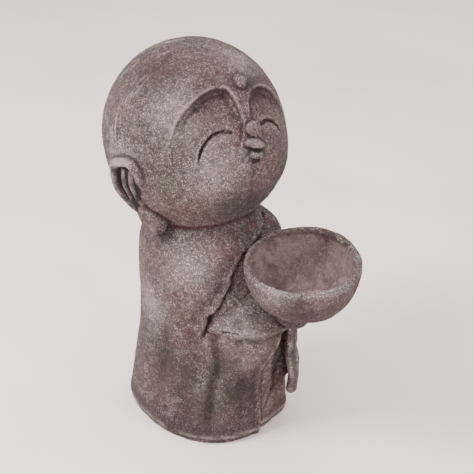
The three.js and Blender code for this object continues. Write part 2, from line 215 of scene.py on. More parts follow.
def addLights():
    flat = Vector((cameraPlace.x, cameraPlace.y, 0)).normalized()
    for name, light in lights.items():
        data = bpy.data.lights.new(name, "AREA")
        data.energy = light["power"]
        data.size = light["size"]
        data.color = light["warmth"]
        lamp = bpy.data.objects.new(name, data)
        lamp.location = cameraRight * light["aside"] + flat * light["toCamera"] + Vector((0, 0, light["height"]))
        aim = Vector((0, 0, 0.5 * figureHeight * mm)) - lamp.location
        lamp.rotation_euler = aim.to_track_quat("-Z", "Y").to_euler()
        bpy.context.scene.collection.objects.link(lamp)
    world = bpy.data.worlds.new("softLight")
    bpy.context.scene.world = world
    world.use_nodes = True
    background = world.node_tree.nodes["Background"]
    background.inputs["Color"].default_value = (1, 0.985, 0.98, 1)
    background.inputs["Strength"].default_value = 1.35


addLights()
print("lights placed")


def fromScreen(r, g, b):  # a colour as read on a screen, 0 to 255
    return tuple(((c / 255 + 0.055) / 1.055) ** 2.4 if c > 10 else c / 255 / 12.92 for c in (r, g, b)) + (1,)


class Socket:
    def __init__(self, tree, out):
        self.tree = tree
        self.out = out

    def node(self, kind, settings=None, outlet=0, **values):
        made = self.tree.nodes.new(kind)
        for name, value in (settings or {}).items():
            if name == "stops":
                ramp = made.color_ramp
                while len(ramp.elements) < len(value):
                    ramp.elements.new(0.5)
                for element, (place, colour) in zip(ramp.elements, value):
                    element.position = place
                    element.color = colour if isinstance(colour, tuple) else (colour,) * 3 + (1,)
            else:
                setattr(made, name, value)
        for name, value in values.items():
            key = int(name[1:]) if name[0] == "_" else name.replace("_", " ")
            if isinstance(value, Socket):
                self.tree.links.new(value.out, made.inputs[key])
            else:
                made.inputs[key].default_value = value
        return Socket(self.tree, made.outputs[outlet])

    def math(self, operation, other, flip=False):
        a, b = (other, self) if flip else (self, other)
        return self.node("ShaderNodeMath", {"operation": operation}, _0=a, _1=b)

    def __add__(self, other):
        return self.math("ADD", other)

    def __radd__(self, other):
        return self.math("ADD", other, True)

    def __sub__(self, other):
        return self.math("SUBTRACT", other)

    def __rsub__(self, other):
        return self.math("SUBTRACT", other, True)

    def __mul__(self, other):
        return self.math("MULTIPLY", other)

    def ramp(self, low, high):
        return self.node("ShaderNodeMapRange", {"interpolation_type": "SMOOTHSTEP"},
                         Value=self, From_Min=low, From_Max=high)

    def tint(self, colour, other):  # this mask lays a colour over another
        return self.node("ShaderNodeMix", {"data_type": "RGBA"}, 2, _0=self, _6=other, _7=colour)


def newMaterial(name):
    material = bpy.data.materials.new(name)
    material.use_nodes = True
    shader = material.node_tree.nodes["Principled BSDF"]
    return material, shader, Socket(material.node_tree, None)


floorLook = {"size": 40, "colour": fromScreen(253, 238, 236), "shade": fromScreen(247, 228, 226), "patch": 2.4}


def addFloor():
    deselectAll()
    bpy.ops.mesh.primitive_plane_add(size=floorLook["size"])
    floor = bpy.context.object
    floor.name = "floor"
    material, shader, start = newMaterial("palePaper")
    place = start.node("ShaderNodeTexCoord", outlet=3)
    patches = start.node("ShaderNodeTexNoise", Vector=place, Scale=floorLook["patch"], Detail=3.0)
    colour = patches.ramp(0.35, 0.7).tint(floorLook["shade"], floorLook["colour"])
    material.node_tree.links.new(colour.out, shader.inputs["Base Color"])
    shader.inputs["Roughness"].default_value = 0.9
    floor.data.materials.append(material)


addFloor()
print("floor laid")


robe = {
    "footBand": 5, "hem": 9, "hemProud": 1.2, "footHalfWidth": 77, "footHalfDepth": 85, "footCornering": 2.3,
    "waist": 110, "waistHalfWidth": 71, "waistHalfDepth": 75,
    "shoulder": 190, "shoulderHalfWidth": 71, "shoulderHalfDepth": 71,
    "collar": 238, "collarHalfWidth": 42, "neckSetBack": 13, "upperArm": 4, "folds": 1.3,
    "leftShoulder": 10, "armRidge": 136, "armTopRise": 1.15, "sleeveDrop": 76, "leftSleeveBottom": 41,
    "innerBack": 4, "innerProud": 2, "openingFrom": 3, "openingTo": 20, "openingTop": 130, "hollowTo": 46,
    "footSide": 52, "footSideProud": 2.5, "footSideTop": 115,
    "crease": [(48, 228), (30, 222), (11, 215), (-6, 206), (-14, 196), (-19, 180), (-27, 163), (-38, 146),
               (-44, 133), (-46, 124)],
    "creaseDepth": 6, "creaseStep": 3.4, "creaseFrom": 106,
    "foldLines": [(-35, 4.5, -1.9), (-43, 6, 0.6), (-53, 7, -0.6), (-64, 8, 1), (-78, 8, -1), (-92, 9, 0.8),
                  (-24, 6, 0.5), (-10, 6, -0.5), (84, 8, 1), (72, 7, -1)],  # angle, spread, height
    "backFolds": 9, "backFoldHeight": 0.7,
}
throat = 0.5 * (robe["shoulder"] + robe["collar"])
halfWidth = curveThrough([
    (robe["hem"], robe["footHalfWidth"]), (robe["waist"], robe["waistHalfWidth"]),
    (robe["shoulder"], robe["shoulderHalfWidth"]), (throat, robe["shoulderHalfWidth"] - 8),
    (robe["collar"], robe["collarHalfWidth"])])
halfDepth = curveThrough([
    (robe["hem"], robe["footHalfDepth"]), (robe["waist"], robe["waistHalfDepth"]),
    (robe["shoulder"], robe["shoulderHalfDepth"]), (throat, robe["shoulderHalfDepth"] - 6),
    (robe["collar"], robe["collarHalfWidth"] + 2)])
armReach = curveThrough([
    (-70, 0), (-58, 0.5), (-45, 3), (-30, 8), (-20, 13), (-10, 20), (0, 27),
    (10, 31), (24, 33), (36, 29), (50, 19), (64, 7), (80, 0)])
sleeveReach = curveThrough([
    (-70, 0), (-58, 0.5), (-45, 3), (-30, 8), (-20, 12), (-10, 19), (0, 25),
    (10, 27), (20, 27), (30, 23), (45, 17), (60, 8), (80, 0)])


def robeSetBack(z):
    return robe["neckSetBack"] * rise(z, 0.35 * robe["collar"], robe["collar"])


def robeSwell(angle, z):  # what the arms and the hanging sleeves add
    arm = np.maximum(0, armReach(angle))
    sleeve = np.maximum(0, sleeveReach(angle))
    ridge = robe["armRidge"]
    reach = blend(sleeve, arm, rise(z, ridge - 10, ridge))
    climb = np.clip((z - ridge) / (5 + robe["armTopRise"] * arm), 0, 1)
    slope = blend(climb, rise(climb, 0, 1), 0.3)
    left = rise(angle, robe["openingFrom"] + 6, robe["openingTo"] - 4)
    rightDrape = rise(z, robe["sleeveDrop"] - 16, ridge)
    bottom = robe["leftSleeveBottom"]
    leftDrape = rise(z, bottom - 5, bottom + 6) * blend(0.9, 1, rise(z, bottom, ridge))
    beyond = rise(angle, 50, 76)
    swell = reach * (1 - slope) * blend(rightDrape, blend(leftDrape, rightDrape, beyond), left)
    wander = 2.5 * np.sin(angle / 6.5) + 1.2 * np.sin(angle / 2.6)
    edge = 1.5 * bell(z, ridge + wander, 4.5) - 1.1 * bell(z, ridge - 10 + wander, 5)
    edge = edge * rise(angle, -47, -38) * (1 - rise(angle, 4, 16))
    lumps = 0.9 * np.sin(angle / 3.6) * np.sin(z / 7 + angle / 9) * bell(z, ridge + 14, 12) * bell(angle, -14, 24)
    return np.where((angle < -70) | (angle > 80), 0, swell + edge + lumps)


def robeFolds(angle, z):  # soft hanging folds below the arms, and the upper arms above them
    ridge = robe["armRidge"]
    sway = 1.4 * np.sin(z / 21) + 0.7 * np.sin(z / 9.5 + 1) + 6.5 * (1 - z / ridge)
    a = angle + sway * rise(ridge - z, 0, 20)
    side = sum(height * bell(a, middle, spread) for middle, spread, height in robe["foldLines"])
    behind = robe["backFoldHeight"] * np.cos(np.radians(a * robe["backFolds"])) * rise(np.abs(angle), 95, 140)
    fade = 1 - rise(z, ridge - 16, ridge + 2)
    arm = robe["upperArm"] * bell(np.abs(angle), 62, 26) * bell(z, 178, 30)
    leftShoulder = robe["leftShoulder"] * bell(angle, 52, 34) * bell(z, throat, 17)
    return robe["folds"] * (side + behind) * fade * rise(z, robe["hem"], robe["hem"] + 20) + arm + leftShoulder


creaseLine = finePath([(angle * 1.25, z) for angle, z in robe["crease"]], 90)


def robeCrease(angle, z):  # one side of the robe laps over the other: a step with a groove along it
    step = np.zeros(np.shape(z))
    near = np.flatnonzero((angle > -66) & (angle < 58) & (z > robe["creaseFrom"]))
    if not len(near):
        return step
    spots = np.stack([angle[near] * 1.25, z[near]], 1)
    spots = spots + 0.8 * np.sin(spots[:, ::-1] / 3.3 + 1) + 0.5 * np.sin(spots / 1.7)
    distance, along, foot = nearPath(spots, creaseLine)
    ahead = np.gradient(creaseLine, axis=0)[np.round(along * (len(creaseLine) - 1)).astype(int)]
    beside = spots - foot
    away = distance * np.where(ahead[:, 0] * beside[:, 1] > ahead[:, 1] * beside[:, 0], -1, 1)
    over = rise(away, -1, 0.7)
    ends = rise(along, 0, 0.04) * (1 - rise(along, 0.93, 1))
    raised = 2 * bell(away, 5, 6) * over - robe["creaseStep"] * (1 - over) * (1 - rise(-away, 3, 20))
    groove = robe["creaseDepth"] * bell(away, -1, 1.8 + 0.9 * bell(along, 0.55, 0.3))
    step[near] = ends * (raised - groove)
    return step


def innerPleats(angle, z):
    lean = angle - 0.5 * z
    wave = np.abs(np.sin(np.radians(lean * 7 + 14 * np.sin(z / 9)))) ** 0.7
    return (2.4 * wave - 1.2) * bell(angle, 24, 26) * rise(z, 8, 26)


def robeRadial(angle, z):  # how far the surface stands outside the robe's plain half sizes
    hem = robe["hem"]
    lip = blend(-1, robe["hemProud"], rise(z, robe["footBand"] - 0.8, robe["footBand"] + 0.8))
    lip = blend(lip, 0, rise(z, hem, hem + 7))
    outer = robeSwell(angle, z) + robeFolds(angle, z) + robeCrease(angle, z) + lip
    inner = -robe["innerBack"] + innerPleats(angle, z) + 0.6 * lip + 8 * rise(z, 40, 125) * bell(angle, 12, 22)
    start, top = robe["openingFrom"], robe["openingTop"]
    rightEdge = start + 7.5 * rise(z, robe["sleeveDrop"], top + 4) + 0.7 * np.sin(z / 13)
    outer = outer + 1.8 * bell(angle, rightEdge - 2, 3) * (1 - rise(z, top - 20, top))
    inner = inner - 2 * bell(angle, rightEdge + 1.5, 2.5)
    low = 1 - rise(z, robe["footSideTop"] - 35, robe["footSideTop"])
    inner = inner + (robe["innerBack"] + robe["innerProud"]) * rise(angle, 24, 42) * low
    hollowTo = robe["hollowTo"]
    gap = rise(angle, rightEdge - 0.5, rightEdge + 0.7) * (1 - rise(angle, hollowTo - 5, hollowTo + 5))
    gap = gap * (1 - rise(z, top - 4, top + 3))
    return blend(outer, inner, gap) + robe["footSideProud"] * bell(angle, robe["footSide"], 11) * low


def robePlace(angle, z, more):
    turn = np.radians(angle)
    s, c = np.sin(turn), np.cos(turn)
    size = np.maximum(z, robe["hem"])
    corner = blend(robe["footCornering"], 2, rise(z, 0, robe["shoulder"]))
    rounding = (np.abs(s) ** corner + np.abs(c) ** corner) ** (-1 / corner)
    x = (halfWidth(size) * rounding + more) * s
    y = robeSetBack(z) - (halfDepth(size) * rounding + more) * c
    return x, y


def makeRobe():
    obj = addRoundBall("robeShape")
    p = readPoints(obj)
    share = np.arcsin(np.clip(p[:, 2], -1, 1)) / math.pi + 0.5
    cap = 0.05
    z = robe["collar"] * np.clip((share - cap) / (1 - 2 * cap), 0, 1)
    edge = np.clip(np.minimum(share, 1 - share) / cap, 0, 1)
    turn = np.arctan2(p[:, 0], -p[:, 1])
    angle = np.degrees(turn - 0.45 * np.sin(turn))
    x, y = robePlace(angle, z, robeRadial(angle, z))
    middle = robeSetBack(z)
    writePoints(obj, np.stack([x * edge, middle + (y - middle) * edge, z], 1))
    return obj


leftSleeve = {"from": 17, "to": 66, "bottom": 40, "top": 139, "thickness": 8.5, "cuts": 70}


def makeLeftSleeve():
    obj = addCutCube("leftSleeveShape", leftSleeve["cuts"])
    p = readPoints(obj)
    u, v = 0.5 + 0.5 * p[:, 0], 0.5 + 0.5 * p[:, 2]
    angle = blend(leftSleeve["from"], leftSleeve["to"], u)
    bottom = leftSleeve["bottom"] + 9 * (1 - rise(u, 0, 0.16)) + 3 * np.cos(u * 9) + 10 * rise(u, 0.6, 1)
    z = blend(bottom, leftSleeve["top"], v)
    angle = angle + (1 - u) * (1.2 * np.sin(z / 11) + 0.7 * np.sin(z / 4.6))
    rounded = np.sqrt(np.clip(1 - (1 - np.clip(v / 0.07, 0, 1)) ** 2, 0.02, 1))
    rounded *= np.sqrt(np.clip(1 - (1 - np.clip(u / 0.12, 0, 1)) ** 2, 0.02, 1))
    wave = 1.6 * np.sin(z / 8.5) * (1 - rise(z, 90, 120)) + 1.2 * np.sin(angle * 0.5)
    outer = sleeveReach(angle) * blend(0.92, 1, rise(z, 41, robe["armRidge"])) + wave
    middle = outer - 0.5 * leftSleeve["thickness"]
    x, y = robePlace(angle, z, middle + 0.5 * leftSleeve["thickness"] * p[:, 1] * -rounded)
    writePoints(obj, np.stack([x, y, z], 1))
    return obj


bowl = {
    "radius": 57.5, "wall": 8.5, "depth": 60, "rimHeight": 217, "forward": 113, "aside": 19,
    "tilt": 8, "nod": 3, "thinSide": 95, "thinning": 0.4, "segments": 128, "rings": 96,
}
bowlMiddle = (bowl["aside"], -bowl["forward"], bowl["rimHeight"])


def bowlLean():
    nod = Matrix.Rotation(math.radians(bowl["nod"]), 3, "X")
    tilt = Matrix.Rotation(math.radians(-bowl["tilt"]), 3, "Y")
    return np.array(tilt @ nod)


def bowlWall(turn):  # the wall is thinner along the far side of the rim
    facing = 0.5 + 0.5 * np.cos(turn - math.radians(bowl["thinSide"]))
    return bowl["wall"] * (1 - bowl["thinning"] * facing ** 1.5)


def makeBowl():
    outer = addSphere("bowlShape", bowl["segments"], bowl["rings"])
    outer.scale = (bowl["radius"], bowl["radius"], bowl["depth"])
    bpy.ops.object.transform_apply(scale=True)
    bpy.ops.object.mode_set(mode="EDIT")
    bpy.ops.mesh.select_all(action="SELECT")
    bpy.ops.mesh.bisect(plane_co=(0, 0, 0.3), plane_no=(0, 0, 1), use_fill=True, clear_outer=True)
    bpy.ops.object.mode_set(mode="OBJECT")
    inner = addSphere("bowlHollow", bowl["segments"], bowl["rings"])
    inner.scale = [bowl["radius"] - bowl["wall"]] * 2 + [bowl["depth"] - bowl["wall"]]
    bpy.ops.object.transform_apply(scale=True)
    p = readPoints(inner)
    wall = bowlWall(np.arctan2(p[:, 1], p[:, 0]))
    p[:, :2] *= ((bowl["radius"] - wall) / (bowl["radius"] - bowl["wall"]))[:, None]
    writePoints(inner, p)
    applyModifier(outer, "BOOLEAN", operation="DIFFERENCE", object=inner, solver="EXACT")
    bpy.data.objects.remove(inner)
    deselectAll()
    lip = 0.5 * bowl["wall"]
    bpy.ops.mesh.primitive_torus_add(
        major_radius=bowl["radius"] - lip, minor_radius=lip * 1.04, major_segments=bowl["segments"],
        minor_segments=24)
    rim = bpy.context.object
    p = readPoints(rim)
    ring = np.hypot(p[:, 0], p[:, 1])
    thin = bowlWall(np.arctan2(p[:, 1], p[:, 0])) / bowl["wall"]
    p[:, :2] *= ((bowl["radius"] - (bowl["radius"] - ring) * thin) / ring)[:, None]
    p[:, 2] *= 0.4 + 0.6 * thin
    writePoints(rim, p)
    for piece in (outer, rim):
        p = readPoints(piece)
        turn = np.arctan2(p[:, 1], p[:, 0])
        p[:, 2] += 0.9 * np.sin(2 * turn + 0.7) + 0.6 * np.sin(5 * turn) + 0.3 * np.sin(9 * turn + 2)
        writePoints(piece, p @ bowlLean().T + bowlMiddle)
    return [outer, rim]


def makeBall(name, middle, radii, segments=64):
    obj = addSphere(name, segments, segments // 2)
    writePoints(obj, readPoints(obj) * radii + middle)
    return obj


hands = {"radii": (15, 18, 12), "aside": 3, "behindBowl": 11, "underBowl": 7}


def makeHands():
    middle = np.add(bowlMiddle, (hands["aside"], hands["behindBowl"], -bowl["depth"] - hands["underBowl"]))
    return makeBall("handsShape", middle, hands["radii"])


head = {
    "halfWidth": 92, "halfDepth": 92, "halfHeight": 95, "setBack": 38, "tilt": 24,
    "faceRoll": 5, "faceTurn": -1, "cheek": 8, "socket": 8,
    "slitWidth": 4.2, "slitDepth": 4.5, "browLip": 0.25,
    "socketCorners": [(50, -22), (12, -24), (4, -4)], "lidCorners": [(34, -30), (12, -30)],
}
headMiddle = (0, head["setBack"], figureHeight - head["halfHeight"])
headLean = np.array(Matrix.Rotation(-math.radians(head["tilt"]), 3, "X"))
browLines = {
    -1: [(2.8, 2.9), (3.5, 8.5), (4.6, 14.9), (6.2, 20.2), (8.8, 23.8), (13.6, 25), (22.1, 23.8),
         (33.5, 17.9), (44.1, 7), (50.3, -5)],
    1: [(1.7, 3.3), (3, 10.5), (6, 16.5), (10.5, 20.2), (18, 22.5), (28, 21.3), (38, 15.5),
        (46, 6), (51, -5)],
}
lidLines = {
    -1: [(11.5, -1.4), (16, -0.6), (23.3, -1.8), (28.3, -5.2), (32.4, -10.6), (35, -17.9)],
    1: [(10.4, 0.2), (15.4, 1.6), (21.2, 2), (26.2, 0.4), (29.4, -2.2), (31.4, -5.2)],
}


def headBall(azimuth, elevation):
    a, e = np.radians(azimuth), np.radians(elevation)
    x, y, z = np.cos(e) * np.sin(a), np.cos(e) * np.cos(a), np.sin(e)
    ball = 1 / np.sqrt((x / head["halfWidth"]) ** 2 + (y / head["halfDepth"]) ** 2
                       + (z / head["halfHeight"]) ** 2)
    cheek = head["cheek"] * np.cos(e) * bell(np.abs(azimuth), 40, 55) * bell(elevation, -42, 26)
    chin = -1.5 * np.cos(e) * bell(azimuth, 0, 20) * bell(elevation, -34, 12)
    jaw = 5 * rise(-elevation, 42, 78)
    return ball + cheek + chin + jaw


def headToPlace(points):
    return points @ headLean.T + headMiddle


def headPlace(azimuth, elevation, radius):
    a, e = np.radians(azimuth), np.radians(elevation)
    flat = np.stack([radius * np.cos(e) * np.sin(a), -radius * np.cos(e) * np.cos(a), radius * np.sin(e)], -1)
    return headToPlace(flat)


def faceToHead(azimuth, elevation):
    c, n = math.cos(math.radians(head["faceRoll"])), math.sin(math.radians(head["faceRoll"]))
    return azimuth * c + elevation * n + head["faceTurn"], elevation * c - azimuth * n


def headToFace(azimuth, elevation):
    c, n = math.cos(math.radians(head["faceRoll"])), math.sin(math.radians(head["faceRoll"]))
    turned = azimuth - head["faceTurn"]
    return turned * c - elevation * n, turned * n + elevation * c


def facePlace(azimuth, elevation, proud=0):
    azimuth, elevation = faceToHead(np.asarray(azimuth, float), np.asarray(elevation, float))
    return headPlace(azimuth, elevation, headBall(azimuth, elevation) + proud)


def socketFloor(azimuth, elevation):  # how deep the eye socket's floor lies in head degrees
    return head["socket"] * rise(elevation, -22, 22) * (1 - rise(np.abs(azimuth), 32, 62))


def makeHead():
    obj = addRoundBall("headShape")
    p = readPoints(obj)
    turn = np.arctan2(p[:, 0], -p[:, 1])
    azimuth = np.degrees(turn - 0.45 * np.sin(turn))
    elevation = np.degrees(np.arcsin(np.clip(p[:, 2], -1, 1)))
    radius = headBall(azimuth, elevation)
    faceAzimuth, faceElevation = headToFace(azimuth, elevation)
    face = np.flatnonzero((np.abs(faceAzimuth) < 62) & (np.abs(faceElevation) < 40))
    spots = np.stack([faceAzimuth[face], faceElevation[face]], 1)
    degree = math.radians(1) * head["halfDepth"]  # millimetres to a degree
    cut = np.zeros(len(face))
    for side in (-1, 1):
        line = finePath(browLines[side], 60) * (side, 1)
        outline = np.vstack([line, np.array(head["socketCorners"]) * (side, 1)])
        away = nearPath(spots, line)[0] * degree
        signed = np.where(insideOutline(spots, outline), away, -away)
        edge = 0.55 * rise(signed, -0.2, 0.9) + 0.45 * rise(signed, 0.5, 7)
        lip = head["browLip"] * bell(signed, -1, 1.2) * rise(spots[:, 1], 0, 14)
        own = np.sign(spots[:, 0]) == side
        cut = np.where(insideOutline(spots, outline) | own, np.maximum(
            cut, edge * socketFloor(azimuth[face], elevation[face]) - lip), cut)
        lid = finePath(lidLines[side], 40) * (side, 1)
        distance, along, _ = nearPath(spots, lid)
        underLid = np.vstack([lid, np.array(head["lidCorners"]) * (side, 1)])
        below = np.where(insideOutline(spots, underLid), 1, -1)
        s = distance * degree * below
        taper = np.sin(np.pi * np.clip(along, 0.02, 0.98)) ** 0.55
        width = head["slitWidth"] * taper
        slit = rise(s, -0.5, 0.4) * (1 - rise(s, 0.5 * width, width)) * head["slitDepth"] * taper
        lidSwell = 0.7 * bell(s, -2.2, 1.8) * taper + 0.6 * bell(s, 8, 4.5) * taper
        cut = cut + slit - lidSwell
    radius[face] -= cut
    writePoints(obj, headPlace(azimuth, elevation, radius))
    return obj


beads = {  # place on the face in degrees, how proud the middle stands, half sizes, roll
    "nose": (0.8, -2, 4.5, (7.3, 7.3, 7.3), 5),
    "browDot": (3.2, 27, 0, (7.1, 5.5, 7.6), 5),
    "upperLip": (3, -11.4, -0.8, (12.5, 5.8, 5.8), 20),
    "lowerLip": (3.8, -17.9, -0.4, (8.6, 4.8, 4.4), 16),
}


def makeBead(name, azimuth, elevation, proud, radii, roll):
    obj = addSphere(name, 48, 32)
    lean = Matrix.Rotation(-math.radians(elevation + head["tilt"]), 3, "X")
    spin = Matrix.Rotation(math.radians(roll), 3, "Y")
    middle = facePlace(azimuth, elevation, proud)
    writePoints(obj, (readPoints(obj) * radii) @ np.array(lean @ spin).T + middle)
    return obj


ear = {
    "bars": {  # path and half thickness of each, on the figure's right side, before the head is tilted
        "rim": ([(-87, -18.5, -35), (-90, -21, -21), (-93, -16, -11), (-94, -5, -9), (-93.5, 8, -10),
                 (-91, 17, -20), (-86, 24, -35), (-79, 24, -48), (-72, 20, -60), (-67, 12, -68)], 4.8),
        "backBar": ([(-89, 1, -17), (-88.5, 6, -32), (-83, 9, -45), (-75, 12, -57)], 3.1),
        "frontBar": ([(-88, -10, -20), (-88, -5, -33), (-83, -2, -45), (-76, 1, -58)], 3.5),
    },
    "lobe": 12.5, "lobeFrom": (-79, 7, -50), "lobeTo": (-66, 4, -76), "lobeBalls": 9,
}


def makeTube(name, path, radius):
    path = finePath(path, 60)
    obj = addSphere(name, 24, 58)
    p = readPoints(obj)
    share = np.arcsin(np.clip(p[:, 2], -1, 1)) / math.pi + 0.5
    i = np.clip(np.round(share * 59).astype(int), 0, 59)
    forward = np.gradient(path, axis=0)
    forward /= np.linalg.norm(forward, axis=1)[:, None]
    side = np.cross(forward, (1, 0.2, 0.1))
    side /= np.linalg.norm(side, axis=1)[:, None]
    up = np.cross(side, forward)
    r = radius * np.sqrt(np.clip(1 - (np.clip(np.abs(share - 0.5) - 0.44, 0, 1) / 0.06) ** 2, 0, 1))
    turn = np.arctan2(p[:, 1], p[:, 0])
    writePoints(obj, path[i] + side[i] * (np.cos(turn) * r)[:, None] + up[i] * (np.sin(turn) * r)[:, None])
    return obj


def makeEar(side):
    flip = np.array((-side, 1, 1))
    pieces = [makeTube(name, headToPlace(np.array(path) * flip), radius)
              for name, (path, radius) in ear["bars"].items()]
    for t in np.linspace(0, 1, ear["lobeBalls"]):
        middle = blend(np.array(ear["lobeFrom"]), np.array(ear["lobeTo"]), t) * flip
        size = ear["lobe"] * blend(0.52, 1, rise(t, -0.1, 0.9))
        ball = makeBall("lobe", middle, (0.92 * size, size, size), 40)
        writePoints(ball, headToPlace(readPoints(ball)))
        pieces.append(ball)
    return pieces


stone = {
    "voxel": 1.05, "triangles": 190000,
    "uneven": {"broad": (34, 1.3), "lumps": (11, 0.9), "grit": (3.6, 0.55)},  # size and height of each
    "flatBelow": 0.8,
}


def joinPieces(pieces, name):
    deselectAll()
    for piece in pieces:
        piece.select_set(True)
    bpy.context.view_layer.objects.active = pieces[0]
    bpy.ops.object.join()
    joined = bpy.context.object
    joined.name = name
    joined.data.name = name
    return joined


pieces = [makeRobe(), makeLeftSleeve(), makeHands(), *makeBowl(), makeHead()]
print("robe, bowl and head shaped")
pieces += [makeBead(name, *bead) for name, bead in beads.items()]
pieces += [*makeEar(-1), *makeEar(1)]
print("face and ears shaped")

statue = joinPieces(pieces, "stoneStatue")
applyModifier(statue, "REMESH", mode="VOXEL", voxel_size=stone["voxel"])
print("joined into one skin of", len(statue.data.vertices), "points")
applyModifier(statue, "SMOOTH", factor=0.5, iterations=1)


def roughen():
    for name, (size, height) in stone["uneven"].items():
        clouds = bpy.data.textures.new(name, "CLOUDS")
        clouds.noise_scale = size
        clouds.noise_depth = 2
        applyModifier(statue, "DISPLACE", texture=clouds, texture_coords="LOCAL", strength=height, mid_level=0.5)
        bpy.data.textures.remove(clouds)
    points = readPoints(statue)
    points[points[:, 2] < stone["flatBelow"], 2] = 0  # it stands flat
    writePoints(statue, points)


def aroundPath(points, path, reach):
    return np.flatnonzero(np.all((points > path.min(0) - reach) & (points < path.max(0) + reach), axis=1))


def carve(points, normals, path, width, depth):  # a groove along a path, shallow at both ends
    near = aroundPath(points, path, 14)
    distance, along, _ = nearPath(points[near], path)
    fade = rise(along, 0, 0.12) * (1 - rise(along, 0.88, 1))
    points[near] -= normals[near] * (depth * bell(distance, 0, 0.6 * width) * fade)[:, None]


def onRobe(angle, z, more=0):
    angle, z = np.atleast_1d(np.asarray(angle, float)), np.atleast_1d(np.asarray(z, float))
    x, y = robePlace(angle, z, robeRadial(angle, z) + more)
    return np.stack([x, y, z], -1)


def alongRobe(spots, more=0):
    spots = finePath(spots, 30)
    return onRobe(spots[:, 0], spots[:, 1], more)


def alongFace(spots, proud=0):
    spots = finePath(spots, 30)
    return facePlace(spots[:, 0], spots[:, 1], proud)


marks = {
    "mouth": [(-5, -11.6), (-1.5, -13.6), (2.2, -14.8), (6, -15.3), (9.8, -15)],
    "underLip": [(0.4, -21.4), (3.8, -22), (7.2, -21.4)],
    "sleeveEdge": [(8.4, 10), (8, 40), (8, 76), (10, 96), (13, 116), (15, 128)],
    "sleeveCut": [(-31, 134), (-25, 135.5), (-19, 134)],
    "scar": [(-66, 174), (-67, 168), (-63, 165), (-58, 168), (-58, 173)],
    "scratch": [(-21, 172), (-17, 165), (-13, 158)],
    "chips": [(-12, 34, 4.5, 1), (-64, 46, 5, 0.7), (-48, 92, 6, 0.6), (-75, 30, 6, -0.5), (-100, 60, 7, 0.7),
              (150, 40, 8, -0.6), (-160, 120, 9, 0.6), (95, 20, 6, -0.6)],  # angle, height, size, how proud
}


def carveMarks():
    points, normals = readPoints(statue), readNormals(statue)
    carve(points, normals, alongFace(marks["mouth"], 3.5), 2.6, 3.4)
    carve(points, normals, alongFace(marks["underLip"]), 5, 1.3)
    carve(points, normals, alongRobe(marks["sleeveCut"]), 2.2, 2.4)
    carve(points, normals, alongRobe(marks["scar"]), 2, -1)
    carve(points, normals, alongRobe(marks["scratch"]), 1.8, -0.9)
    for angle, z, size, height in marks["chips"]:
        offset = points - onRobe(angle, z)[0]
        near = np.flatnonzero(np.all(np.abs(offset) < 2 * size, axis=1))
        square = np.sum(np.abs(offset[near]) ** 4, axis=1) ** 0.25
        points[near] += normals[near] * (height * (1 - rise(square, 0.4 * size, size)))[:, None]
    writePoints(statue, points)


roughen()
carveMarks()
print("surface made uneven, marks carved")

paint = {
    # place in millimetres and size of each patch
    "rosy": [(-32, -30, 352, 22), (26, -32, 352, 20), (-14, -48, 334, 12), (-10, -5, 390, 24), (-14, -30, 358, 24),
             (-58, -32, 265, 22), (-72, -10, 264, 20), (-26, -50, 212, 16), (-42, 40, 389, 24),
             (-75, 5, 50, 20), (-60, -42, 131, 22), (60, -96, 196, 20), (20, -55, 300, 16), (31, -72, 29, 16),
             (70, 60, 320, 30), (20, 110, 150, 34), (-30, 120, 60, 26), (75, 30, 90, 30)],
    "mossy": [(-26, -46, 261, 20), (-58, -22, 337, 18), (-74, -20, 290, 18), (-43, -65, 52, 22), (-52, -58, 85, 20),
              (-16, -88, 121, 18), (0, -47, 221, 18), (-16, -64, 163, 14), (-29, -141, 212, 16), (-72, -8, 100, 20),
              (60, 90, 280, 30), (-20, 85, 110, 32), (70, 20, 150, 30), (40, -120, 170, 20)],
    # pale patches, partly pale wear and partly painted light on lit places
    "pale": [(-57, -34, 197, 24), (-40, -50, 300, 30), (-23, -65, 154, 18),
             (-97, 32, 301, 18), (-30, -85, 140, 20), (-44, -60, 300, 30),
             (-32, -130, 213, 18), (-60, -8, 358, 26), (25, 2, 387, 20), (-71, 12, 144, 24), (-24, -79, 101, 16),
             (6, -164, 217, 20), (0, 128, 330, 34), (50, 70, 210, 30), (1, -60, 326, 10), (40, -66, 80, 24)],
    # dark patches, partly grime and partly painted shade: in the eye sockets, under the chin, by the ear lobes,
    # under the bowl and hands
    "grimy": [(-34, -24, 364, 20), (27, -24, 364, 18), (22, -104, 147, 18), (-90, 20, 277, 16), (-68, 11, 236, 14),
              (-36, -68, 96, 26), (-20, -80, 60, 30), (8, -150, 172, 26), (19, -118, 160, 38),
              (-22, -58, 261, 22), (6, -56, 258, 20), (-14, -152, 186, 20),
              (-50, -58, 40, 28), (-28, -156, 192, 20), (10, -170, 192, 22), (44, -156, 197, 20), (-68, -20, 80, 30),
              (-60, 30, 395, 30), (60, -60, 270, 34), (60, 40, 60, 36), (-40, 110, 40, 36)],
    "strokeAxis": (-0.57, -0.68, 0.46), "relief": (2, 10), "reliefSpread": 50, "neckHeight": 224,
}


def nextAverage(values, pairs, share):  # each point's value moved towards the mean of its neighbours'
    total = np.zeros_like(values)
    for axis in range(values.shape[1]):
        total[:, axis] = (np.bincount(pairs[:, 0], values[pairs[:, 1], axis], len(values))
                          + np.bincount(pairs[:, 1], values[pairs[:, 0], axis], len(values)))
    return total * share


def storeMask(name, values):
    layer = statue.data.attributes.new(name, "FLOAT", "POINT")
    layer.data.foreach_set("value", np.ascontiguousarray(values, dtype=np.float32))


def paintAlong(mask, points, path, width, strength, last):
    near = aroundPath(points, path, 8)
    distance, along, _ = nearPath(points[near], path)
    amount = blend(strength, last, rise(along, 0.6, 0.85))
    mask[near] = np.maximum(mask[near], amount * bell(distance, 0, width))


